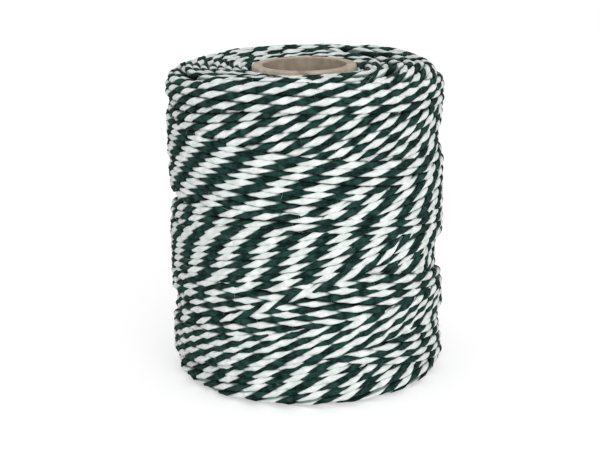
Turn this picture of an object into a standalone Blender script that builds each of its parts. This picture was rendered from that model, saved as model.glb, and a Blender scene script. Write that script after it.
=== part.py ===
"""Spool of twisted twine, cross-wound on a paperboard core.

Metres, +Z up. The origin is the centre of the core's lower end, on which the spool stands.
The core is a turned tube. The packed inner layers of twine are one turned body with rounded shoulders.
The outer layer winds over that body in one line, from the core's lower end, out over the lower face, up the
side and in over the upper face: four runs of twine that meet end to end.
"""

import math

import bmesh
import bpy
import numpy as np
from mathutils import Matrix, Vector

MM = 0.001

# Driving dimensions: the core
CORE_OUTER_DIAMETER = 30.4 * MM
CORE_WALL = 3.1 * MM
CORE_LENGTH = 91.5 * MM
CORE_EDGE_BEVEL = 0.35 * MM
CORE_STAND_OUT = 0.7 * MM  # how far each end of the core stands out of the twine

# Driving dimensions: the twine
PACKAGE_DIAMETER = 80.0 * MM
TWINE_DIAMETER = 2.0 * MM
TURN_GAP = 0.9 * MM  # least gap between neighbouring turns of the outer layer
UPPER_SHOULDER = 3.0 * MM  # rounding of the packed body's upper edge
LOWER_SHOULDER = 1.5 * MM  # rounding of the packed body's lower edge
TUCK_BEND = 4.0 * MM  # bend of the twine's ends, where they go down into the body
TUCK_WALL = 0.6 * MM  # twine left between the bore and the pocket of a tucked end

# Clearance between pieces that lie on or against each other
FIT_GAP = 0.3 * MM

# Counts
ROUND_SIDES = 48  # facets of the core and the body
TURN_POINTS = 16  # corners of each turn of the outer layer
SHOULDER_POINTS = 6
BEND_POINTS = 4
TWINE_BEVEL_RESOLUTION = 1

# The runs start and end on the spool's back, towards +Y
JOINT_ANGLE = math.pi / 2

# Sizes that follow from the driving dimensions
CORE_RADIUS = CORE_OUTER_DIAMETER / 2
TWINE_RADIUS = TWINE_DIAMETER / 2
BODY_BORE = CORE_RADIUS + FIT_GAP
LAYER_LIFT = TWINE_RADIUS + FIT_GAP  # from the body's surface to the middle of the outer layer
LAYER_RADIUS = PACKAGE_DIAMETER / 2 - TWINE_RADIUS
LAYER_BOTTOM = CORE_STAND_OUT + TWINE_RADIUS
LAYER_TOP = CORE_LENGTH - CORE_STAND_OUT - TWINE_RADIUS
INNER_TURN_RADIUS = BODY_BORE + TUCK_WALL + LAYER_LIFT


def clear_scene():
    for old in list(bpy.data.objects):
        bpy.data.objects.remove(old)


def material(name, colour, roughness):
    made = bpy.data.materials.new(name)
    made.use_nodes = True
    shader = made.node_tree.nodes["Principled BSDF"]
    shader.inputs["Base Color"].default_value = (*colour, 1.0)
    shader.inputs["Roughness"].default_value = roughness
    shader.inputs["Metallic"].default_value = 0.0
    made.diffuse_color = (*colour, 1.0)
    return made


def add_object(name, data, finish):
    made = bpy.data.objects.new(name, data)
    made.data.materials.append(finish)
    bpy.context.scene.collection.objects.link(made)
    return made


def turned(name, outline, finish):
    """A closed outline of (radius, height) points, spun once round Z."""
    shape = bmesh.new()
    corners = [shape.verts.new((radius, 0.0, height)) for radius, height in outline]
    ring = [shape.edges.new(pair) for pair in zip(corners, corners[1:] + corners[:1])]
    bmesh.ops.spin(
        shape,
        geom=corners + ring,
        axis=(0, 0, 1),
        cent=(0, 0, 0),
        angle=2 * math.pi,
        steps=ROUND_SIDES,
        use_merge=True,
    )
    bmesh.ops.remove_doubles(shape, verts=shape.verts, dist=1e-7)
    bmesh.ops.recalc_face_normals(shape, faces=shape.faces)
    mesh = bpy.data.meshes.new(name)
    shape.to_mesh(mesh)
    shape.free()
    mesh.shade_smooth()
    mesh.set_sharp_from_angle(angle=math.radians(35))
    return add_object(name, mesh, finish)


def core_tube(finish):
    """The paperboard tube, with the cut edges of both ends pressed a little round."""
    outer, inner, edge = CORE_RADIUS, CORE_RADIUS - CORE_WALL, CORE_EDGE_BEVEL
    outline = [
        (inner, edge),
        (inner + edge, 0.0),
        (outer - edge, 0.0),
        (outer, edge),
        (outer, CORE_LENGTH - edge),
        (outer - edge, CORE_LENGTH),
        (inner + edge, CORE_LENGTH),
        (inner, CORE_LENGTH - edge),
    ]
    return turned("core_tube", outline, finish)


def shoulder(centre, radius, start, end):
    """Points of a quarter round from one angle to another, and the directions in which it faces."""
    angles = np.linspace(start, end, SHOULDER_POINTS)
    facing = np.stack([np.cos(angles), np.sin(angles)], axis=1)
    return np.array(centre) + radius * facing, facing


def layer_meridian():
    """The line of the outer layer's middle, as (radius, height) points from the inner turn of the lower face to
    that of the upper face, with the way each point faces."""
    low, high = LOWER_SHOULDER + LAYER_LIFT, UPPER_SHOULDER + LAYER_LIFT
    low_arc, low_facing = shoulder((LAYER_RADIUS - low, LAYER_BOTTOM + low), low, -math.pi / 2, 0.0)
    high_arc, high_facing = shoulder((LAYER_RADIUS - high, LAYER_TOP - high), high, 0.0, math.pi / 2)
    line = np.vstack([(INNER_TURN_RADIUS, LAYER_BOTTOM), low_arc, high_arc, (INNER_TURN_RADIUS, LAYER_TOP)])
    facing = np.vstack([(0.0, -1.0), low_facing, high_facing, (0.0, 1.0)])
    return line, facing


def pocket(end_height, inward):
    """A box that cuts the pocket of a tucked end out of the body."""
    depth = TUCK_BEND + TWINE_DIAMETER + FIT_GAP
    length = TUCK_BEND + TWINE_RADIUS + FIT_GAP
    shape = bmesh.new()
    bmesh.ops.create_cube(shape, size=1.0)
    bmesh.ops.scale(shape, vec=(length, 2 * LAYER_LIFT, depth), verts=shape.verts)
    along = inward * length / 2
    place = Vector((along, INNER_TURN_RADIUS, end_height + inward * depth / 2))
    bmesh.ops.translate(shape, vec=place, verts=shape.verts)
    bmesh.ops.rotate(
        shape,
        cent=(0, 0, 0),
        matrix=Matrix.Rotation(JOINT_ANGLE - math.pi / 2, 3, "Z"),
        verts=shape.verts,
    )
    mesh = bpy.data.meshes.new("pocket")
    shape.to_mesh(mesh)
    shape.free()
    cutter = bpy.data.objects.new("pocket", mesh)
    bpy.context.scene.collection.objects.link(cutter)
    cutter.hide_render = True
    cutter.display_type = "WIRE"
    return cutter


def wound_body(line, facing, finish):
    """The inner layers of twine, packed round the core."""
    under = line - LAYER_LIFT * facing
    lower_face, upper_face = under[0, 1], under[-1, 1]
    outline = [(BODY_BORE, lower_face), *map(tuple, under[1:-1]), (BODY_BORE, upper_face)]
    body = turned("wound_body", outline, finish)
    for height, inward in ((LAYER_BOTTOM, 1.0), (LAYER_TOP, -1.0)):
        cut = body.modifiers.new("tuck_pocket", "BOOLEAN")
        cut.operation = "DIFFERENCE"
        cut.solver = "EXACT"
        cut.object = pocket(height, inward)
    return body


def place(angle, radius, height):
    return np.array((radius * math.cos(angle), radius * math.sin(angle), height))


def on_meridian(line, distance):
    """The radius and height at a distance along the meridian."""
    along = np.concatenate([[0.0], np.cumsum(np.linalg.norm(np.diff(line, axis=0), axis=1))])
    return np.interp(distance, along, line[:, 0]), np.interp(distance, along, line[:, 1])


def turns(line, start, end, count):
    """Corners of whole turns that pass along the meridian from one distance to another. A turn's chords touch the
    layer's radius at their middles, and the runs are cut at such a middle."""
    steps = count * TURN_POINTS
    found = []
    for step in range(steps):
        radius, height = on_meridian(line, start + (end - start) * (step + 0.5) / steps)
        angle = JOINT_ANGLE + 2 * math.pi * (step + 0.5) / TURN_POINTS
        found.append(place(angle, radius / math.cos(math.pi / TURN_POINTS), height))
    return found


def joint_tip(line, distance, side):
    """The end of a run at a joint: side 1 leaves the joint and side -1 comes up to it."""
    forward = np.array((-math.sin(JOINT_ANGLE), math.cos(JOINT_ANGLE), 0.0))
    return place(JOINT_ANGLE, *on_meridian(line, distance)) + side * forward * FIT_GAP / 2


def tucked_end(height, inward):
    """The end of the innermost turn, bent down into the pocket, from the turn to the tip."""
    corner = place(JOINT_ANGLE, INNER_TURN_RADIUS, height)
    away = inward * np.array((math.sin(JOINT_ANGLE), -math.cos(JOINT_ANGLE), 0.0))
    down = np.array((0.0, 0.0, inward))
    found = []
    for angle in np.linspace(0.0, math.pi / 2, BEND_POINTS + 1):
        found.append(corner + TUCK_BEND * (math.sin(angle) * away + (1 - math.cos(angle)) * down))
    found.append(found[-1] + TWINE_DIAMETER * down)
    return found


def least_gap(points):
    """The narrowest gap between stretches of a run that are over a quarter turn apart along it."""
    points = np.array(points)
    steps = np.linalg.norm(np.diff(points, axis=0), axis=1)
    along = np.concatenate([[0.0], np.cumsum(steps)])
    at = np.arange(0.0, along[-1], TWINE_RADIUS)
    fine = np.stack([np.interp(at, along, points[:, axis]) for axis in range(3)], axis=1)
    apart = math.pi / 2 * INNER_TURN_RADIUS
    least = math.inf
    for index, point in enumerate(fine):
        others = fine[index + 1 + int(apart / TWINE_RADIUS) :]
        if len(others):
            least = min(least, float(np.linalg.norm(others - point, axis=1).min()))
    return least - TWINE_DIAMETER


def twine_run(name, points, finish):
    """One unbroken stretch of twine along these points."""
    curve = bpy.data.curves.new(name, "CURVE")
    curve.dimensions = "3D"
    curve.twist_mode = "MINIMUM"
    curve.bevel_depth = TWINE_RADIUS
    curve.bevel_resolution = TWINE_BEVEL_RESOLUTION
    curve.use_fill_caps = True
    spline = curve.splines.new("POLY")
    spline.points.add(len(points) - 1)
    for slot, point in zip(spline.points, points):
        slot.co = (*point, 1.0)
    print(f"{name}: least gap to itself {least_gap(points) / MM:.2f} mm")
    return add_object(name, curve, finish)


def outer_layer(line, finish):
    """The four runs of the outer layer, each of whole turns."""
    lengths = np.linalg.norm(np.diff(line, axis=0), axis=1)
    pitch = TWINE_DIAMETER + TURN_GAP
    lower_face, upper_face, total = lengths[0], lengths[-1], lengths.sum()
    side = total - lower_face - upper_face
    lower_count = max(1, int(lower_face / pitch))
    upper_count = max(1, int(upper_face / pitch))
    side_count = max(2, int(side / pitch))
    low_half = side_count // 2
    middle = lower_face + side * low_half / side_count
    lower_edge, upper_edge = lower_face, total - upper_face
    tuck_low = tucked_end(LAYER_BOTTOM, 1.0)[::-1]
    tuck_high = tucked_end(LAYER_TOP, -1.0)
    runs = {
        "lower_face_turns": [
            *tuck_low,
            *turns(line, 0.0, lower_edge, lower_count),
            joint_tip(line, lower_edge, -1),
        ],
        "lower_side_turns": [
            joint_tip(line, lower_edge, 1),
            *turns(line, lower_edge, middle, low_half),
            joint_tip(line, middle, -1),
        ],
        "upper_side_turns": [
            joint_tip(line, middle, 1),
            *turns(line, middle, upper_edge, side_count - low_half),
            joint_tip(line, upper_edge, -1),
        ],
        "upper_face_turns": [
            joint_tip(line, upper_edge, 1),
            *turns(line, upper_edge, total, upper_count),
            *tuck_high,
        ],
    }
    return [twine_run(name, points, finish) for name, points in runs.items()]


def main():
    clear_scene()
    paperboard = material("paperboard", (0.40, 0.32, 0.25), 0.85)
    packed_twine = material("packed_twine", (0.10, 0.16, 0.14), 0.95)
    twine = material("twine", (0.42, 0.48, 0.45), 0.9)
    line, facing = layer_meridian()
    core_tube(paperboard)
    wound_body(line, facing, packed_twine)
    outer_layer(line, twine)


main()
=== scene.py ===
"""Looks of the twine spool: two-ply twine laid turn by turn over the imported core, with the studio round it.

Metres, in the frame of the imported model. The twine is wound here as it is on the real spool: each turn
settles on the turns that already lie there, and only what stays in sight is made into strands.
"""

import math

import bmesh
import bpy
import numpy as np
from mathutils import Matrix, Vector


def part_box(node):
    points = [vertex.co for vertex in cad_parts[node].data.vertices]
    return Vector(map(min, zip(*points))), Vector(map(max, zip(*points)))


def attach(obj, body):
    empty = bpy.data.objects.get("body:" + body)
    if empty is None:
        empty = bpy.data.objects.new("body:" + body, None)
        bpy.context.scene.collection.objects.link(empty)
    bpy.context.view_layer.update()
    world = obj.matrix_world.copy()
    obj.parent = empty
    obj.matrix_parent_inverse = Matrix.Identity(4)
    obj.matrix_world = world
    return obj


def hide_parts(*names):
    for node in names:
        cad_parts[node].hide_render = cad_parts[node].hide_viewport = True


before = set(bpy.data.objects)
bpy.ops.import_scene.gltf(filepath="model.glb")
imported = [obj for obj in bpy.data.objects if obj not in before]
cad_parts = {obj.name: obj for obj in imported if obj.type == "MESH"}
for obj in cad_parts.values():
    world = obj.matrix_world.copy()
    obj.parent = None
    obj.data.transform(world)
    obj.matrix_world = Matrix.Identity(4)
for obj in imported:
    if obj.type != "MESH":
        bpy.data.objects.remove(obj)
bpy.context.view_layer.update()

MM = 0.001

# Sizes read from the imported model
CORE_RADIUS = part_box("core_tube")[1].x
CORE_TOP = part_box("core_tube")[1].z
PACKAGE_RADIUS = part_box("lower_side_turns")[1].y
TWINE_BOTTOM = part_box("lower_side_turns")[0].z
TWINE_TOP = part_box("upper_side_turns")[1].z

# The core's wall and rounded lips, the plies of its board and its spiral seam
CORE_WALL = 3.1 * MM
CORE_LIP = 0.45 * MM
LIP_STEPS = 4
CORE_SIDES = 160
BOARD_PLY = 0.42 * MM
SEAM_PITCH = 52.0 * MM
SEAM_WIDTH = 0.9 * MM

# The twine: two flattened strands twisted together, each turn pressed a little by its neighbours
TWINE_RADIUS = 1.12 * MM
TURN_PITCH = 2.2 * MM
LEAST_PITCH = 2.0 * MM
PRESSED_HALF_WIDTH = 1.0 * MM
PRESSED_HALF_HEIGHT = 0.88 * MM
STRAND_HALF_WIDTH = 1.05 * MM
STRAND_HALF_HEIGHT = 0.62 * MM
STRAND_MIDDLE = 0.52 * MM
OUTLINE_CORNERS = 10

# Points closer than this are one point
MERGE_DISTANCE = 1e-7

# Loose fibres: their size, how deep they start, and the ranges of their length, rise and curl
FIBRE_RADIUS = 0.02 * MM
FIBRE_CORNERS = 3
FIBRE_POINTS = 5
FIBRE_ROOT = 0.03 * MM
FIBRE_LENGTHS = (0.8 * MM, 3.4 * MM)
FIBRE_SHORTENING = (0.4, 1.0)
FIBRE_RISE = (0.05, 0.6)
FIBRE_CURL = (-0.9, 0.9)
FIBRE_DROOP = 0.8
FIBRE_TAPER = 0.6

# One loose fibre for so many faces of a strand, on faces that look out at least this much
FACES_PER_FIBRE = {"white": 12, "green": 24}
LEAST_FACING = 0.5

# The line on which the outer turns lie, with its rounded shoulders
LINE_RADIUS = PACKAGE_RADIUS - TWINE_RADIUS
LINE_BOTTOM = TWINE_BOTTOM + TWINE_RADIUS
LINE_TOP = TWINE_TOP - TWINE_RADIUS
LOWER_SHOULDER = 1.5 * MM
UPPER_SHOULDER = 4.4 * MM
LOWER_ARC = LOWER_SHOULDER * math.pi / 2
UPPER_ARC = UPPER_SHOULDER * math.pi / 2
SIDE = LINE_TOP - LINE_BOTTOM - LOWER_SHOULDER - UPPER_SHOULDER
INNER_TURN = CORE_RADIUS + TWINE_RADIUS
LOWER_FACE = LINE_RADIUS - LOWER_SHOULDER - INNER_TURN
UPPER_FACE = LINE_RADIUS - UPPER_SHOULDER - INNER_TURN
LOWER_EDGE = -LOWER_ARC - LOWER_FACE
UPPER_EDGE = SIDE + UPPER_ARC + UPPER_FACE

# The grid on which turns settle: places round the spool by places along the line
PLACES = 360
STEP = 2 * math.pi / PLACES
GRID = 0.2 * MM
GRID_MARGIN = 3.0 * MM
GRID_START = LOWER_EDGE - GRID_MARGIN
GRID_ROWS = int((UPPER_EDGE + GRID_MARGIN - GRID_START) / GRID)

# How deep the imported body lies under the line: two layers of turns at the ends, three or more between them
END_DEPTH = 2.5 * MM
SIDE_DEPTH = 4.3 * MM
MIDDLE_DEPTH = 5.1 * MM
CROWN_DEPTH = 3.9 * MM

# Those depths, each at a height above the twine's lower edge
BODY_DEPTHS = (
    (0.0 * MM, END_DEPTH),
    (7.0 * MM, SIDE_DEPTH),
    (16.0 * MM, MIDDLE_DEPTH),
    (53.0 * MM, MIDDLE_DEPTH),
    (58.0 * MM, SIDE_DEPTH),
    (68.0 * MM, SIDE_DEPTH),
    (78.0 * MM, END_DEPTH),
    (86.0 * MM, CROWN_DEPTH),
)

# On the end faces the body rises until one layer is left, over this distance past the tilted edge turns
FACE_RISE = 1.7 * MM
FACE_EASE = 3.0 * MM

# At the right the body stands out a little, in a hump half way up
HUMP = 1.6 * MM
HUMP_HEIGHT = 47.0 * MM
HUMP_REACH = 5.0 * MM

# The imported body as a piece: points of its outline, sides, and its clearance round the core
BODY_POINTS = 120
BODY_SIDES = 96
BODY_CLEARANCE = 0.1 * MM

# How often a turn is pulled taut while it settles
SETTLING_ROUNDS = 60

# How far turns are pressed down where later turns lie on them, and how many cells of their middle tell it
COVERED_DEPTH = 1.0 * MM
COVERED_CELLS = 2
COVERED_EASE = 5

# Turns that lie further out of the line than this are pressed back towards it
PRESSED_FROM = 0.2 * MM
PRESSED_REST = 0.12 * MM
PRESSED_SHARE = 0.4
MOST_LIFT = 0.55 * MM
LIFT_EASE = 2

# Places with more cells in sight than this show, with a margin of places and in stretches of this length
HIDDEN_CELLS = 2
SHOWN_MARGIN = 4
SHORTEST_STRETCH = 4

# Both ends of a run dip under other turns, over so many places
END_REACH = 14
END_DIP = 1.9 * MM

# The front of the spool looks towards the camera, along -Y
FRONT = -math.pi / 2

# The upper rim stands highest to the right of the front, where tilted turns have piled up
CREST = 1.8 * MM
CREST_LEAST = 0.9 * MM
CREST_AT = FRONT + math.radians(62.0)
CREST_POWER = 1.5

# A tilted turn rises a little straighter than a wave does
STRAIGHTENING = 0.05

# Three waves that never fall in step: share, rate, how far a seed moves each, and its start
WAVES = ((0.5, 0.73, 1.7, 0.0), (0.3, 1.91, 0.9, 1.0), (0.2, 4.37, 2.3, 2.0))

# How far turns wander along the line, each run in its own way
INNER_WANDER = 0.4 * MM
OUTER_WANDER = 0.3 * MM
INNER_SEED = 3.0
RISING_SEED = 1.0
BAND_SEED = 4.0

# How far the twist wanders, in lays, and the twine's thickness, in parts of it
TWIST_WANDER = 0.16
TWIST_RATE = 2.1
TWIST_SEED = 5.0
THICKNESS_WANDER = 0.11
THICKNESS_RATE = 3.3
THICKNESS_SEED = 2.0

# Lays of the two strands in a turn of the inner layer
INNER_LAYS = 22.4

# How turns lie: how far their tilt lifts them, where each turn is highest in degrees from the front,
# how many lays of the two strands go into a turn, and how far on in a lay they start
RISING_TOP = (7.1 * MM, 105.0, 23.7, -0.27)
RISING_STEEP = (8.8 * MM, 80.0, 22.1, -0.07)
RISING = (6.9 * MM, 74.0, 22.1, 0.41)
RISING_LOW = (7.2 * MM, 63.0, 22.59, 0.3)
RISING_NEXT = (6.6 * MM, 63.0, 22.59, -0.25)
RISING_LAST = (7.4 * MM, 71.0, 22.59, -0.25)
TOP_TURNS = (2.6 * MM, -25.0, 23.7, 0.75)
FALLING_FIRST = (5.0 * MM, -100.0, 22.22, 0.35)
FALLING = (6.4 * MM, -88.0, 22.22, 0.35)
FALLING_LOW = (8.6 * MM, -37.0, 21.87, 0.65)
FALLING_LAST = (8.8 * MM, -37.0, 21.87, 0.37)
CROSSING = (0.0, 0.0, 22.0, 0.0)
LAST_TURNS = (6.7 * MM, -19.0, 22.1, 0.0)

# The complete layer of turns that rise to the right across the front. Angles run on from the front in
# degrees, with the height of the turn's middle in millimetres and how it lies
RISING_PATH = (
    (150, 94.1, RISING_TOP), (3750, 71.7, RISING_TOP),
    (7350, 49.1, RISING), (9618, 36.3, RISING),
    (13578, 13.0, RISING_LOW), (17394, -8.9, RISING_LOW),
)

# The last turns, in bands that lie on that layer. Between bands the twine passes up or down behind,
# except for one steep climb across the front
BAND_PATH = (
    (150, 88.9, TOP_TURNS), (870, 85.5, TOP_TURNS), (1590, 81.4, TOP_TURNS),
    (1700, 71.9, FALLING_FIRST), (5190, 49.1, FALLING),
    (5320, 33.5, FALLING_LOW), (6580, 25.9, FALLING_LOW),
    (6730, 55.2, RISING_STEEP), (7990, 47.6, RISING), (10290, 34.3, RISING),
    (10340, 24.5, FALLING_LOW), (13110, 7.6, FALLING_LAST),
    (13190, 20.0, RISING_NEXT), (14960, 11.7, RISING_LAST),
    (15070, 21.0, CROSSING), (15092, 25.8, CROSSING), (15105, 29.6, CROSSING), (15120, 34.0, CROSSING),
    (15135, 37.7, CROSSING), (15150, 41.4, CROSSING), (15160, 44.4, CROSSING),
    (15182, 49.5, LAST_TURNS), (16092, 43.9, LAST_TURNS),
)

# A run passes from one mark of its path to the next over so many places to each side
PATH_EASE = 8

# The chart of a strand, with lays along it and its outline across, and how far out its points lie
CHART = "lays"
OUTWARD = "out"

# Streaks of fibres on a strand: how fine they are along a lay and round the outline, and how far they turn
# back against the twist, in parts of the outline for each lay
STREAKS_ALONG = 5.0
STREAKS_ROUND = 34.0
STREAK_DETAIL = 4.0
STREAK_SLANT = 1.2
STREAK_SHARE = 0.5
STREAK_BUMP = 0.75
STREAK_DEPTH = 0.16 * MM

# Slow changes of a yarn's tone, and the ranges over which tones and the painted shade of grooves change
SLOW_SCALE = 420.0
SLOW_DETAIL = 3.0
TONE_RANGE = (0.40, 0.61)
GROOVE_SHADE_RANGE = (0.72, 0.2)

# Cotton: its pale tone, its deep tone and the tone of the painted shade in its grooves
WHITE_TONES = ((0.96, 0.99, 0.975), (0.72, 0.78, 0.75), (0.17, 0.235, 0.215))
GREEN_TONES = ((0.025, 0.074, 0.062), (0.003, 0.0115, 0.0095), (0.003, 0.010, 0.008))
COTTON_ROUGHNESS = 0.9
SHEEN_ROUGHNESS = 0.5
WHITE_SHEEN = 0.12
WHITE_GLOSS = 0.2
GREEN_SHEEN = 0.02
GREEN_GLOSS = 0.06

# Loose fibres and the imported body: pale tone, deep tone and how fine their patches are
LOOSE_WHITE = ((0.95, 0.98, 0.965), (0.80, 0.85, 0.83), 900.0)
LOOSE_GREEN = ((0.02, 0.075, 0.06), (0.008, 0.03, 0.024), 900.0)
# The imported body's tones are the twine's green darkened into painted shade, for layers seen only in gaps
PACKED_SHADE = ((0.02, 0.05, 0.042), (0.006, 0.02, 0.016), 500.0)
MATTE_ROUGHNESS = 0.95
MATTE_GLOSS = 0.2
MATTE_DETAIL = 3.0
MATTE_RANGE = (0.35, 0.65)

# Paperboard: tones of its grain, then of its patches, plies, painted inner shade and seam with their strength
BOARD_DEEP = (0.50, 0.405, 0.31)
BOARD_PALE = (0.73, 0.615, 0.49)
BOARD_PATCH = ((0.58, 0.52, 0.455), 0.35)
BOARD_PLIES = ((0.25, 0.20, 0.155), 0.5)
BOARD_INSIDE_SHADE = ((0.16, 0.125, 0.09), 0.56)
BOARD_SEAM = ((0.14, 0.11, 0.08), 0.5)
BOARD_ROUGHNESS = 0.85
BOARD_GLOSS = 0.3

# The board's patterns: scale and detail of grain and patches, and the ranges over which they show
GRAIN = (420.0, 6.0)
GRAIN_RANGE = (0.3, 0.7)
PATCHES = (90.0, 3.0)
PATCH_RANGE = (0.4, 0.7)
PLY_RANGE = (0.2, 0.9)
SEAM_CORE = 0.4
SEAM_SINK = 0.8
LIP_REACH = 1.2 * CORE_LIP
BOARD_BUMP = 0.6
BOARD_DEPTH = 0.12 * MM

# The studio: floor, white surroundings and one softbox
FLOOR_HALF_SIZE = 3.0
FLOOR_WHITE = (0.85, 0.85, 0.85)
FLOOR_GLOW = (0.43, 0.43, 0.43)
BLACK = (0.0, 0.0, 0.0)
SURROUNDINGS = 0.66
SOFTBOX_SIZE = 0.9
SOFTBOX_POWER = 7.6
SOFTBOX_PLACE = (0.22, -1.03, 0.22)

# The camera, with its lens and the shift of its picture in pixels of the picture's width
PICTURE_WIDTH = 600
FOCAL_PIXELS = 1434.7
SHIFT_PIXELS = (-6.4, -9.5)
SENSOR_WIDTH = 36.0
CAMERA_RISE = math.radians(14.82)
CAMERA_ROLL = math.radians(-0.78)
CAMERA_DISTANCE = 428.8 * MM
CAMERA_AIM = (0.0, 0.0, 45.9 * MM)


def crest(angle):
    """How far the upper rim stands above the upper face, at an angle round the spool."""
    return CREST_LEAST + CREST * (0.5 + 0.5 * np.cos(angle - CREST_AT)) ** CREST_POWER


def on_line(angle, distance):
    """Radius, height and facing angle at a distance along the line. Zero is the lower end of the straight
    side, and negative distances pass round the lower shoulder and in over the lower face."""
    rise = crest(angle)
    side = SIDE + rise
    low = np.clip(-distance / LOWER_ARC, 0.0, 1.0) * math.pi / 2
    high = np.clip((distance - side) / UPPER_ARC, 0.0, 1.0) * math.pi / 2
    below = np.clip(-distance - LOWER_ARC, 0.0, None)
    above = np.clip(distance - side - UPPER_ARC, 0.0, None) * UPPER_FACE / (UPPER_FACE - rise)
    radius = (
        LINE_RADIUS
        - LOWER_SHOULDER * (1 - np.cos(low))
        - UPPER_SHOULDER * (1 - np.cos(high))
        - below
        - above
    )
    height = (
        LINE_BOTTOM
        + LOWER_SHOULDER * (1 - np.sin(low))
        + np.clip(distance, 0.0, side)
        + UPPER_SHOULDER * np.sin(high)
        - rise * eased_step(above / UPPER_FACE)
    )
    return radius, height, high - low


def side_distance(height):
    """The distance along the line at a height above the twine's lower edge."""
    return height - LINE_BOTTOM - LOWER_SHOULDER + TWINE_BOTTOM


def eased_step(values):
    """Values from nought to one, eased at both ends and held beyond them."""
    part = np.clip(values, 0.0, 1.0)
    return part * part * (3 - 2 * part)


def tilt_parts(way):
    """The tilt of a way to lie, as two parts that can be blended: its lift at the front and at the right."""
    lift, highest = way[:2]
    return lift * math.cos(math.radians(highest)), lift * math.sin(math.radians(highest))


def tilted(angle, at_front, at_right):
    """How far a tilt lifts a turn at an angle."""
    lift = np.hypot(at_front, at_right)
    turn = angle - FRONT - np.arctan2(at_right, at_front)
    return lift * (np.cos(turn) + STRAIGHTENING * np.cos(3 * turn))


def turn_at(angle, mark):
    """The distance along the line at which the turn of one mark of a path lies, at an angle."""
    height, way = mark[1:]
    return side_distance(height * MM) + tilted(angle, *tilt_parts(way))


def body_level(angle, distance):
    """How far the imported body's surface lies above the line, below zero where it lies under it."""
    heights = [side_distance(height) for height, depth in BODY_DEPTHS]
    level = -np.interp(distance, heights, [depth for height, depth in BODY_DEPTHS])
    at_right = (0.5 + 0.5 * np.sin(angle - FRONT)) ** 2
    from_hump = (distance - side_distance(HUMP_HEIGHT)) / HUMP_REACH
    level = level + HUMP * at_right * np.exp(-(from_hump**2))
    upper = distance - np.maximum(turn_at(angle, RISING_PATH[0]), turn_at(angle, BAND_PATH[0]))
    lower = turn_at(angle, RISING_PATH[-1]) - distance
    rise = FACE_RISE * eased_step(lower / FACE_EASE)
    return level + rise + (FACE_RISE + CROWN_DEPTH - END_DEPTH) * eased_step(upper / FACE_EASE)


def softened(values, reach):
    """Values along a run, eased over this many places to each side."""
    weights = np.hanning(2 * reach + 1)
    padded = np.concatenate([np.full(reach, values[0]), values, np.full(reach, values[-1])])
    return np.convolve(padded, weights / weights.sum(), "valid")


class Winding:
    """Turns that settle on each other. Each place of a run keeps how high above the line it came to lie."""

    def __init__(self):
        distances = GRID_START + GRID * np.arange(GRID_ROWS)
        self.level = body_level(STEP * np.arange(PLACES)[:, None], distances[None, :])
        self.owner = np.full((PLACES, GRID_ROWS), -1)
        self.count = 0
        reach = int(PRESSED_HALF_WIDTH / GRID)
        self.window = np.arange(-reach, reach + 1)
        across = self.window * GRID / PRESSED_HALF_WIDTH
        self.section = PRESSED_HALF_HEIGHT * np.sqrt(1 - across**2)

    def cells(self, first, distance):
        """The grid cells under a stretch that starts at a place round the spool."""
        column = (first + np.arange(len(distance))) % PLACES
        row = np.round((distance - GRID_START) / GRID).astype(int)
        rows = np.clip(row[:, None] + self.window, 0, GRID_ROWS - 1)
        return np.broadcast_to(column[:, None], rows.shape), rows

    def settle(self, first, distance, before):
        """One turn, pulled taut over what it lies on, is laid down."""
        cells = self.cells(first, distance)
        lowest = (self.level[cells] + self.section).max(axis=1)
        angle = STEP * (first + np.arange(len(distance)))
        sag = LINE_RADIUS * STEP**2 / 2 * np.cos(on_line(angle, distance)[2])
        lift = lowest.copy()
        start = lowest[0] if before is None else before
        for _ in range(SETTLING_ROUNDS):
            taut = np.concatenate([[start], lift, [lift[-1]]])
            lift = np.maximum(lowest, (taut[:-2] + taut[2:]) / 2 - sag)
        top = lift[:, None] + self.section
        higher = top > self.level[cells]
        numbers = np.broadcast_to(self.count + np.arange(len(distance))[:, None], top.shape)
        self.owner[cells] = np.where(higher, numbers, self.owner[cells])
        self.level[cells] = np.where(higher, top, self.level[cells])
        self.count += len(distance)
        return lift

    def lay(self, first, distance):
        """A run of turns is laid down one after another."""
        lifts = []
        before = None
        for start in range(0, len(distance), PLACES):
            lifts.append(self.settle(first + start, distance[start : start + PLACES], before))
            before = lifts[-1][-1]
        return np.concatenate(lifts)

    def covered(self, number, first, distance):
        """How far each place of a run lies under later turns, from none to all of its middle."""
        columns, rows = self.cells(first, distance)
        centre = len(self.window) // 2
        middle = slice(centre - COVERED_CELLS, centre + COVERED_CELLS + 1)
        own = number + np.arange(len(distance))[:, None]
        under = self.owner[columns[:, middle], rows[:, middle]] != own
        return softened(under.mean(axis=1), COVERED_EASE)

    def in_sight(self, first, length):
        """Which places of a run show, with a few places more at each end that dips under other turns."""
        numbers = self.owner[(self.owner >= first) & (self.owner < first + length)] - first
        shown = np.bincount(numbers, minlength=length) > HIDDEN_CELLS
        return np.convolve(shown, np.ones(2 * SHOWN_MARGIN + 1), "same") > 0


def wander(angle, amount, seed):
    """A small smooth wandering along a run."""
    return amount * sum(
        share * np.sin(rate * angle + moved * seed + start) for share, rate, moved, start in WAVES
    )


def apart(distance, least):
    """A run whose turns lie beside each other: no turn comes closer than this to the one before it."""
    found = distance.copy()
    for start in range(PLACES, len(found), PLACES):
        turn = found[start : start + PLACES]
        before = found[start - PLACES : start - PLACES + len(turn)]
        turn[:] = np.minimum(turn, before - least)
    return found


def spaced(start, end, pitch):
    """Distances of a run that moves evenly from one distance to another, by this much in each turn."""
    return np.linspace(start, end, int(round(abs(end - start) / pitch * PLACES)), endpoint=False)


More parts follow.
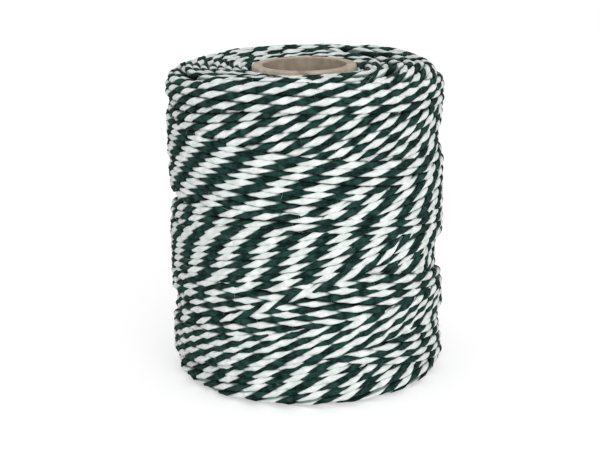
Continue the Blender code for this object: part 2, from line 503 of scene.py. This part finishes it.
def inner_layer():
    """The layer under the last turns, wound from the core out over the upper face, down the side and in
    again over the lower face. It shows on the end faces and in gaps."""
    centre = spaced(UPPER_EDGE, LOWER_EDGE, TURN_PITCH)
    angle = STEP * np.arange(len(centre))
    distance = centre + wander(angle, INNER_WANDER, INNER_SEED)
    return 0, distance, np.full(len(centre), INNER_LAYS), np.zeros(len(centre))


def wound_along(path, seed):
    """A run wound along a path: its first place, its distances along the line, the lays in a turn at each
    place and how far on in a lay it starts there."""
    marks = np.array([mark for mark, height, way in path], float)
    heights = [side_distance(height * MM) for mark, height, way in path]
    parts = np.array([tilt_parts(way) for mark, height, way in path])
    rates = [way[2] for mark, height, way in path]
    starts = [way[3] for mark, height, way in path]
    turned = np.arange(marks[0], marks[-1], 360 / PLACES)
    centre, at_front, at_right, rate, start = (
        softened(np.interp(turned, marks, values), PATH_EASE)
        for values in (heights, parts[:, 0], parts[:, 1], rates, starts)
    )
    first = int(round((math.radians(marks[0]) + FRONT) / STEP))
    angle = STEP * (first + np.arange(len(turned)))
    distance = centre + tilted(angle, at_front, at_right) + wander(angle, OUTER_WANDER, seed)
    return first, distance, rate, start


def rising_layer():
    """The complete layer of rising turns. At both ends it passes over the shoulder and in over the face."""
    first, distance, rate, start = wound_along(RISING_PATH, RISING_SEED)
    return first, np.maximum(apart(distance, LEAST_PITCH), LOWER_EDGE), rate, start


def wind_twine():
    """All runs of twine, each in two halves: points, ways out, twist, thickness and what stays in sight."""
    winding = Winding()
    runs = []
    for first, distance, rate, start in (inner_layer(), rising_layer(), wound_along(BAND_PATH, BAND_SEED)):
        number = winding.count
        runs.append((number, first, distance, winding.lay(first, distance), rate, start))
    found = {}
    for name, (number, first, distance, lift, rate, start) in zip(("face", "rising", "bands"), runs):
        lift = pressed(lift) - COVERED_DEPTH * winding.covered(number, first, distance)
        eased = sunk_ends(softened(lift, LIFT_EASE))
        shown = winding.in_sight(number, len(distance))
        values = (*run_points(first, distance, eased, rate, start), shown)
        half = len(distance) // 2
        found["upper_" + name] = tuple(value[: half + 1] for value in values)
        found["lower_" + name] = tuple(value[half:] for value in values)
    return found


def pressed(lift):
    """Turns that came to lie well out of the line, pressed back towards it."""
    return np.where(lift > PRESSED_FROM, np.minimum(PRESSED_REST + PRESSED_SHARE * lift, MOST_LIFT), lift)


def sunk_ends(lift):
    """Both ends of a run dip under the turns beside them."""
    dip = END_DIP * (1 - eased_step(np.arange(END_REACH) / END_REACH))
    lift = lift.copy()
    lift[:END_REACH] -= dip
    lift[-END_REACH:] -= dip[::-1]
    return lift


def run_points(first, distance, lift, rate, start):
    """Points of a run with the way out from the spool at each, how far its strands have twisted and how
    thick the twine is."""
    angle = STEP * (first + np.arange(len(distance)))
    radius, height, facing = on_line(angle, distance)
    lays = np.cumsum(radius * rate) / (PLACES * LINE_RADIUS)
    twist = lays + start + wander(TWIST_RATE * angle, TWIST_WANDER, TWIST_SEED)
    thick = 1.0 + wander(THICKNESS_RATE * angle, THICKNESS_WANDER, THICKNESS_SEED)
    level = np.cos(facing)
    outward = np.stack([level * np.cos(angle), level * np.sin(angle), np.sin(facing)], axis=1)
    points = np.stack([radius * np.cos(angle), radius * np.sin(angle), height], axis=1)
    return points + lift[:, None] * outward, outward, twist, thick


def link(name, data):
    """A new object of the scene that shows this data."""
    made = bpy.data.objects.new(name, data)
    bpy.context.scene.collection.objects.link(made)
    return made


def section(name, corners, half_width, half_height, middle):
    """A closed outline to sweep along a curve: an oval that lies off the curve's middle."""
    curve = bpy.data.curves.new(name, "CURVE")
    curve.dimensions = "2D"
    spline = curve.splines.new("POLY")
    spline.use_cyclic_u = True
    spline.points.add(corners - 1)
    for index, point in enumerate(spline.points):
        turn = 2 * math.pi * index / corners - math.pi / 2
        point.co = (half_width * math.cos(turn), middle + half_height * math.sin(turn), 0.0, 1.0)
    return link(name, curve)


def strand_section(name, side):
    """The outline of one flattened strand, which lies on one side of the twine's middle."""
    sizes = (side * size for size in (STRAND_HALF_WIDTH, STRAND_HALF_HEIGHT, STRAND_MIDDLE))
    return section(name, OUTLINE_CORNERS, *sizes)


def sweep_curve(name, outline):
    """An empty curve that sweeps an outline along its splines."""
    curve = bpy.data.curves.new(name, "CURVE")
    curve.dimensions = "3D"
    curve.bevel_mode = "OBJECT"
    curve.bevel_object = outline
    curve.use_fill_caps = True
    return curve


def add_spline(curve, places, thick):
    """One more spline of a curve, through these places and this thick at each."""
    spline = curve.splines.new("POLY")
    spline.points.add(len(places) - 1)
    spline.points.foreach_set("co", np.column_stack([places, np.ones(len(places))]).ravel())
    spline.points.foreach_set("radius", thick)
    return spline


def shown_stretches(shown):
    """First and last places of each stretch that shows."""
    edges = np.flatnonzero(np.diff(np.concatenate([[0], shown.astype(int), [0]])))
    return [(start, end) for start, end in edges.reshape(-1, 2) if end - start >= SHORTEST_STRETCH]


def strand(name, run, outline, finish):
    """One strand of a run, swept along the twine's middle while it turns about it."""
    points, outward, twist, thick, shown = run
    curve = sweep_curve(name, outline)
    curve.twist_mode = "Z_UP"
    rings = []
    for start, end in shown_stretches(shown):
        spline = add_spline(curve, points[start:end], thick[start:end])
        spline.points.foreach_set("tilt", -2 * math.pi * np.mod(twist[start:end], 1.0))
        rings.append(np.arange(start, end))
    mesh = swept(name, curve)
    mark_strand(mesh, np.concatenate(rings), points, outward, twist)
    mesh.materials.append(finish)
    return link(name, mesh)


def swept(name, curve):
    """The mesh of a curve with its outline swept along it."""
    sweep = link(name + "_sweep", curve)
    scene_now = bpy.context.evaluated_depsgraph_get()
    mesh = bpy.data.meshes.new_from_object(sweep.evaluated_get(scene_now))
    bpy.data.objects.remove(sweep)
    mesh.name = name
    mesh.shade_smooth()
    mesh.materials.clear()
    return mesh


def mark_strand(mesh, rings, points, outward, twist):
    """Each corner keeps how far along the twine it lies, in lays, and each point how far out it lies from
    the twine's middle. The points of the rings come last, after those of the caps."""
    count = len(mesh.vertices)
    caps = count - len(rings) * OUTLINE_CORNERS
    place = np.empty(count * 3)
    mesh.vertices.foreach_get("co", place)
    place = place.reshape(-1, 3)
    along = np.zeros(count)
    along[caps:] = np.repeat(twist[rings], OUTLINE_CORNERS)
    out = np.ones(count)
    offset = place[caps:] - np.repeat(points[rings], OUTLINE_CORNERS, axis=0)
    away = np.repeat(outward[rings], OUTLINE_CORNERS, axis=0)
    out[caps:] = (offset * away).sum(axis=1) / TWINE_RADIUS
    mesh.attributes.new(OUTWARD, "FLOAT", "POINT").data.foreach_set("value", out)
    corner = np.empty(len(mesh.loops), int)
    mesh.loops.foreach_get("vertex_index", corner)
    chart = mesh.uv_layers[0]
    chart.name = CHART
    values = np.empty(len(corner) * 2)
    chart.data.foreach_get("uv", values)
    values[0::2] = along[corner]
    chart.data.foreach_set("uv", values)
    shape = bmesh.new()
    shape.from_mesh(mesh)
    bmesh.ops.remove_doubles(shape, verts=shape.verts, dist=MERGE_DISTANCE)
    shape.to_mesh(mesh)
    shape.free()


def outer_faces(mesh):
    """Middles and normals of the faces of a strand that look out from the spool."""
    middles = np.empty(len(mesh.polygons) * 3)
    normals = np.empty(len(mesh.polygons) * 3)
    mesh.polygons.foreach_get("center", middles)
    mesh.polygons.foreach_get("normal", normals)
    middles, normals = middles.reshape(-1, 3), normals.reshape(-1, 3)
    inmost = np.zeros_like(middles)
    inmost[:, 2] = np.clip(middles[:, 2], LINE_BOTTOM + LINE_RADIUS / 2, LINE_TOP - LINE_RADIUS / 2)
    away = middles - inmost
    away /= np.linalg.norm(away, axis=1)[:, None]
    kept = (normals * away).sum(axis=1) > LEAST_FACING
    return middles[kept], normals[kept]


def loose_fibres(name, mesh, count, seed, outline, finish):
    """Short bent fibres that start on a strand and stand out of it, all above the floor."""
    chance = np.random.default_rng(seed)
    middles, normals = outer_faces(mesh)
    picks = chance.integers(0, len(middles), count)
    start, out = middles[picks] - FIBRE_ROOT * normals[picks], normals[picks]
    along = np.cross(out, chance.normal(size=(count, 3)))
    along /= np.linalg.norm(along, axis=1)[:, None]
    beside = np.cross(out, along)
    length = chance.uniform(*FIBRE_LENGTHS, count) * chance.uniform(*FIBRE_SHORTENING, count)
    rise = chance.uniform(*FIBRE_RISE, count)
    curl = chance.uniform(*FIBRE_CURL, count)
    curve = sweep_curve(name, outline)
    part = np.linspace(0.0, 1.0, FIBRE_POINTS)[:, None]
    thick = 1.0 - FIBRE_TAPER * part[:, 0] ** 2
    for index in range(count):
        bend = part * along[index] + rise[index] * (part - FIBRE_DROOP * part**2) * out[index]
        places = start[index] + length[index] * (bend + curl[index] * part**2 * beside[index])
        places[:, 2] = np.maximum(places[:, 2], 2 * FIBRE_RADIUS)
        add_spline(curve, places, thick)
    fibres = swept(name, curve)
    fibres.materials.append(finish)
    return link(name, fibres)


def principled(name, roughness, gloss):
    """A new material with its node tree and its shader."""
    made = bpy.data.materials.new(name)
    made.use_nodes = True
    shader = made.node_tree.nodes["Principled BSDF"]
    shader.inputs["Roughness"].default_value = roughness
    shader.inputs["Specular IOR Level"].default_value = gloss
    return made, made.node_tree, shader


def worked_out(tree, operation, *values):
    """A number worked out by one node from numbers or from the outputs of other nodes."""
    node = tree.nodes.new("ShaderNodeMath")
    node.operation = operation
    for socket, value in zip(node.inputs, values):
        if isinstance(value, (int, float)):
            socket.default_value = value
        else:
            tree.links.new(value, socket)
    return node.outputs["Value"]


def ranged(tree, value, start, end):
    """A value eased from nought at the start to one at the end."""
    node = tree.nodes.new("ShaderNodeMapRange")
    node.interpolation_type = "SMOOTHSTEP"
    node.inputs["From Min"].default_value = start
    node.inputs["From Max"].default_value = end
    tree.links.new(value, node.inputs["Value"])
    return node.outputs["Result"]


def noise(tree, place, scale, detail):
    """A cloudy pattern at a place."""
    node = tree.nodes.new("ShaderNodeTexNoise")
    node.inputs["Scale"].default_value = scale
    node.inputs["Detail"].default_value = detail
    tree.links.new(place, node.inputs["Vector"])
    return node.outputs["Fac"]


def bumped(tree, height, strength, distance):
    """A normal that follows a height."""
    node = tree.nodes.new("ShaderNodeBump")
    node.inputs["Strength"].default_value = strength
    node.inputs["Distance"].default_value = distance
    tree.links.new(height, node.inputs["Height"])
    return node.outputs["Normal"]


def mixed(tree, factor, first, second):
    """A colour between two others, each of them a colour or the output of a node."""
    mix = tree.nodes.new("ShaderNodeMix")
    mix.data_type = "RGBA"
    tree.links.new(factor, mix.inputs["Factor"])
    for socket, value in ((mix.inputs["A"], first), (mix.inputs["B"], second)):
        if isinstance(value, tuple):
            socket.default_value = (*value, 1.0)
        else:
            tree.links.new(value, socket)
    return mix.outputs["Result"]


def fibre_streaks(group):
    """A pattern that runs along a strand's own fibres."""
    chart = group.nodes.new("ShaderNodeSeparateXYZ")
    lays = group.nodes.new("ShaderNodeUVMap")
    lays.uv_map = CHART
    group.links.new(lays.outputs["UV"], chart.inputs["Vector"])
    fibre = group.nodes.new("ShaderNodeCombineXYZ")
    across = worked_out(group, "MULTIPLY_ADD", chart.outputs["X"], STREAK_SLANT, chart.outputs["Y"])
    group.links.new(worked_out(group, "MULTIPLY", chart.outputs["X"], STREAKS_ALONG), fibre.inputs["X"])
    group.links.new(worked_out(group, "MULTIPLY", across, STREAKS_ROUND), fibre.inputs["Y"])
    return noise(group, fibre.outputs["Vector"], 1.0, STREAK_DETAIL)


def yarn_group():
    """What all yarn shares: streaks along its fibres, slow changes of tone, and painted shade in grooves."""
    group = bpy.data.node_groups.new("yarn", "ShaderNodeTree")
    for name in ("Tone", "Groove Shade"):
        group.interface.new_socket(name, in_out="OUTPUT", socket_type="NodeSocketFloat")
    group.interface.new_socket("Normal", in_out="OUTPUT", socket_type="NodeSocketVector")
    nodes, links = group.nodes, group.links
    result = nodes.new("NodeGroupOutput")
    streaks = fibre_streaks(group)
    place = nodes.new("ShaderNodeTexCoord").outputs["Object"]
    slow = worked_out(group, "MULTIPLY", noise(group, place, SLOW_SCALE, SLOW_DETAIL), 1 - STREAK_SHARE)
    both = worked_out(group, "MULTIPLY_ADD", streaks, STREAK_SHARE, slow)
    links.new(ranged(group, both, *TONE_RANGE), result.inputs["Tone"])
    # The groove output is painted shade: the less far a point lies out from the twine's middle, the darker it
    # is
    out = nodes.new("ShaderNodeAttribute")
    out.attribute_name = OUTWARD
    links.new(ranged(group, out.outputs["Fac"], *GROOVE_SHADE_RANGE), result.inputs["Groove Shade"])
    links.new(bumped(group, streaks, STREAK_BUMP, STREAK_DEPTH), result.inputs["Normal"])
    return group


def cotton(name, yarn, tones, sheen, gloss):
    """Soft cotton yarn in two tones of one colour, with painted shade in the grooves between turns."""
    pale, deep, groove_shade = tones
    made, tree, shader = principled(name, COTTON_ROUGHNESS, gloss)
    shader.inputs["Sheen Weight"].default_value = sheen
    shader.inputs["Sheen Roughness"].default_value = SHEEN_ROUGHNESS
    fibres = tree.nodes.new("ShaderNodeGroup")
    fibres.node_tree = yarn
    streaked = mixed(tree, fibres.outputs["Tone"], deep, pale)
    shaded = mixed(tree, fibres.outputs["Groove Shade"], streaked, groove_shade)
    tree.links.new(shaded, shader.inputs["Base Color"])
    tree.links.new(fibres.outputs["Normal"], shader.inputs["Normal"])
    return made


def mottled(name, pale, deep, scale):
    """A matte colour that wanders between two tones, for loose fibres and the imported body."""
    made, tree, shader = principled(name, MATTE_ROUGHNESS, MATTE_GLOSS)
    place = tree.nodes.new("ShaderNodeTexCoord").outputs["Object"]
    patches = ranged(tree, noise(tree, place, scale, MATTE_DETAIL), *MATTE_RANGE)
    tree.links.new(mixed(tree, patches, deep, pale), shader.inputs["Base Color"])
    return made


def spiral_seam(tree, x, y, z):
    """A mask of the seam that runs round the core and up it."""
    turned_part = worked_out(tree, "DIVIDE", worked_out(tree, "ARCTAN2", y, x), 2 * math.pi)
    spiral = worked_out(tree, "FRACT", worked_out(tree, "MULTIPLY_ADD", z, 1 / SEAM_PITCH, turned_part))
    from_seam = worked_out(tree, "ABSOLUTE", worked_out(tree, "SUBTRACT", spiral, 0.5))
    return ranged(tree, from_seam, SEAM_WIDTH / SEAM_PITCH, SEAM_CORE * SEAM_WIDTH / SEAM_PITCH)


def paperboard():
    """Spiral-wound grey-brown board: mottled, painted shade inside, plies on its cut ends and one seam."""
    made, tree, shader = principled("paperboard", BOARD_ROUGHNESS, BOARD_GLOSS)
    place = tree.nodes.new("ShaderNodeTexCoord").outputs["Object"]
    split = tree.nodes.new("ShaderNodeSeparateXYZ")
    tree.links.new(place, split.inputs["Vector"])
    x, y, z = (split.outputs[axis] for axis in "XYZ")
    square = worked_out(tree, "MULTIPLY_ADD", x, x, worked_out(tree, "MULTIPLY", y, y))
    radius = worked_out(tree, "SQRT", square)
    seam = spiral_seam(tree, x, y, z)
    grain = noise(tree, place, *GRAIN)
    patches = ranged(tree, noise(tree, place, *PATCHES), *PATCH_RANGE)
    layers = worked_out(tree, "SINE", worked_out(tree, "MULTIPLY", radius, 2 * math.pi / BOARD_PLY))
    at_end = ranged(tree, z, CORE_TOP - LIP_REACH, CORE_TOP)
    plies = worked_out(tree, "MULTIPLY", ranged(tree, layers, *PLY_RANGE), at_end)
    # Painted shade on the inner wall, fading out over the lip
    inside_shade = ranged(tree, radius, CORE_RADIUS - CORE_WALL + LIP_REACH, CORE_RADIUS - CORE_WALL)
    colour = mixed(tree, ranged(tree, grain, *GRAIN_RANGE), BOARD_DEEP, BOARD_PALE)
    marks = ((patches, BOARD_PATCH), (plies, BOARD_PLIES), (inside_shade, BOARD_INSIDE_SHADE), (seam, BOARD_SEAM))
    for mask, (tone, strength) in marks:
        colour = mixed(tree, worked_out(tree, "MULTIPLY", mask, strength), colour, tone)
    tree.links.new(colour, shader.inputs["Base Color"])
    rough = worked_out(tree, "SUBTRACT", grain, worked_out(tree, "MULTIPLY", seam, SEAM_SINK))
    tree.links.new(bumped(tree, rough, BOARD_BUMP, BOARD_DEPTH), shader.inputs["Normal"])
    return made


def turned(name, outline, steps, finish):
    """A closed outline of (radius, height) points, spun once round Z."""
    shape = bmesh.new()
    corners = [shape.verts.new((radius, 0.0, height)) for radius, height in outline]
    ring = [shape.edges.new(pair) for pair in zip(corners, corners[1:] + corners[:1])]
    bmesh.ops.spin(
        shape,
        geom=corners + ring,
        axis=(0, 0, 1),
        cent=(0, 0, 0),
        angle=2 * math.pi,
        steps=steps,
        use_merge=True,
    )
    bmesh.ops.remove_doubles(shape, verts=shape.verts, dist=MERGE_DISTANCE)
    bmesh.ops.recalc_face_normals(shape, faces=shape.faces)
    mesh = bpy.data.meshes.new(name)
    shape.to_mesh(mesh)
    shape.free()
    mesh.shade_smooth()
    mesh.materials.append(finish)
    return link(name, mesh)


def lip(radius, height, start):
    """A quarter round of the core's lip about a middle point."""
    angles = [start + math.pi / 2 * step / LIP_STEPS for step in range(LIP_STEPS + 1)]
    return [(radius + CORE_LIP * math.cos(a), height + CORE_LIP * math.sin(a)) for a in angles]


def core_tube(finish):
    """The paperboard tube, open at both ends, with rounded lips."""
    inner = CORE_RADIUS - CORE_WALL + CORE_LIP
    outer = CORE_RADIUS - CORE_LIP
    low, high = CORE_LIP, CORE_TOP - CORE_LIP
    outline = [
        *lip(inner, low, math.pi),
        *lip(outer, low, 1.5 * math.pi),
        *lip(outer, high, 0.0),
        *lip(inner, high, 0.5 * math.pi),
    ]
    return turned("core", outline, CORE_SIDES, finish)


def packed_body(finish):
    """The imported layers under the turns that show."""
    distances = np.linspace(LOWER_EDGE, UPPER_EDGE, BODY_POINTS)
    radius, height, facing = on_line(CREST_AT + math.pi, distances)
    level = np.minimum(body_level(FRONT, distances), -END_DEPTH)
    radius = radius + level * np.cos(facing)
    height = height + level * np.sin(facing)
    bore = CORE_RADIUS + BODY_CLEARANCE
    outline = [(bore, height[0]), *zip(radius.tolist(), height.tolist()), (bore, height[-1])]
    return turned("packed_twine", outline, BODY_SIDES, finish)


def place_piece(piece, node):
    """A piece, which already has its material, rides on the part and takes the place of one of its nodes,
    which is hidden.
    """
    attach(piece, "root")
    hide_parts(node)


def twine():
    """All strands that show, with their loose fibres."""
    yarn = yarn_group()
    finishes = {
        "white": cotton("white_cotton", yarn, WHITE_TONES, WHITE_SHEEN, WHITE_GLOSS),
        "green": cotton("green_cotton", yarn, GREEN_TONES, GREEN_SHEEN, GREEN_GLOSS),
    }
    loose = {"white": mottled("loose_white", *LOOSE_WHITE), "green": mottled("loose_green", *LOOSE_GREEN)}
    nodes = {
        "lower_face": "lower_face_turns",
        "upper_face": "upper_face_turns",
        "upper_rising": "upper_side_turns",
        "lower_rising": "lower_side_turns",
        "upper_bands": "upper_side_turns",
        "lower_bands": "lower_side_turns",
    }
    outlines = {"white": strand_section("white_outline", 1), "green": strand_section("green_outline", -1)}
    thin = section("fibre_outline", FIBRE_CORNERS, FIBRE_RADIUS, FIBRE_RADIUS, 0.0)
    for number, (name, run) in enumerate(wind_twine().items()):
        for colour, outline in outlines.items():
            piece = strand(f"{name}_{colour}", run, outline, finishes[colour])
            place_piece(piece, nodes[name])
            count = len(piece.data.polygons) // FACES_PER_FIBRE[colour]
            fuzz = loose_fibres(f"{name}_{colour}_fibres", piece.data, count, number, thin, loose[colour])
            place_piece(fuzz, nodes[name])
    for outline in (*outlines.values(), thin):
        bpy.data.objects.remove(outline)


def floor():
    """A white floor, which glows where it is looked at, so that it is white where no shadow falls."""
    made, tree, shader = principled("floor_white", 1.0, 0.0)
    seen = tree.nodes.new("ShaderNodeLightPath")
    shader.inputs["Base Color"].default_value = (*FLOOR_WHITE, 1.0)
    rays = worked_out(tree, "MAXIMUM", seen.outputs["Is Glossy Ray"], seen.outputs["Is Transmission Ray"])
    rays = worked_out(tree, "MAXIMUM", seen.outputs["Is Camera Ray"], rays)
    tree.links.new(mixed(tree, rays, BLACK, FLOOR_GLOW), shader.inputs["Emission Color"])
    shader.inputs["Emission Strength"].default_value = 1.0
    shape = bmesh.new()
    bmesh.ops.create_grid(shape, x_segments=1, y_segments=1, size=FLOOR_HALF_SIZE)
    mesh = bpy.data.meshes.new("floor")
    shape.to_mesh(mesh)
    shape.free()
    mesh.materials.append(made)
    link("floor", mesh)


def softbox():
    """One square lamp in front, which looks at the middle of the spool."""
    light = bpy.data.lights.new("front_softbox", "AREA")
    light.shape = "SQUARE"
    light.size = SOFTBOX_SIZE
    light.energy = SOFTBOX_POWER
    made = link("front_softbox", light)
    made.location = SOFTBOX_PLACE
    aim = Vector((0.0, 0.0, CORE_TOP / 2)) - Vector(SOFTBOX_PLACE)
    made.rotation_euler = aim.to_track_quat("-Z", "Y").to_euler()


def surroundings():
    """An even white all round."""
    world = bpy.data.worlds.new("studio")
    bpy.context.scene.world = world
    world.use_nodes = True
    back = world.node_tree.nodes["Background"]
    back.inputs["Color"].default_value = (1.0, 1.0, 1.0, 1.0)
    back.inputs["Strength"].default_value = SURROUNDINGS


def camera():
    """The photograph's camera: a long lens, a little above the spool, turned by about a degree."""
    view = bpy.data.cameras.new("camera")
    view.sensor_width = SENSOR_WIDTH
    view.lens = FOCAL_PIXELS * SENSOR_WIDTH / PICTURE_WIDTH
    view.shift_x, view.shift_y = (shift / PICTURE_WIDTH for shift in SHIFT_PIXELS)
    made = link("camera", view)
    aim = Vector(CAMERA_AIM)
    made.location = aim + CAMERA_DISTANCE * Vector((0.0, -math.cos(CAMERA_RISE), math.sin(CAMERA_RISE)))
    look = (aim - made.location).to_track_quat("-Z", "Y").to_matrix()
    made.rotation_euler = (look @ Matrix.Rotation(CAMERA_ROLL, 3, "Z")).to_euler()
    bpy.context.scene.camera = made


def main():
    """The spool, then the studio round it."""
    twine()
    # The imported body in a dark green, as painted shade for the gaps between turns
    place_piece(packed_body(mottled("packed_shade", *PACKED_SHADE)), "wound_body")
    place_piece(core_tube(paperboard()), "core_tube")
    surroundings()
    softbox()
    floor()
    camera()
    bpy.context.scene.view_settings.view_transform = "Standard"


main()
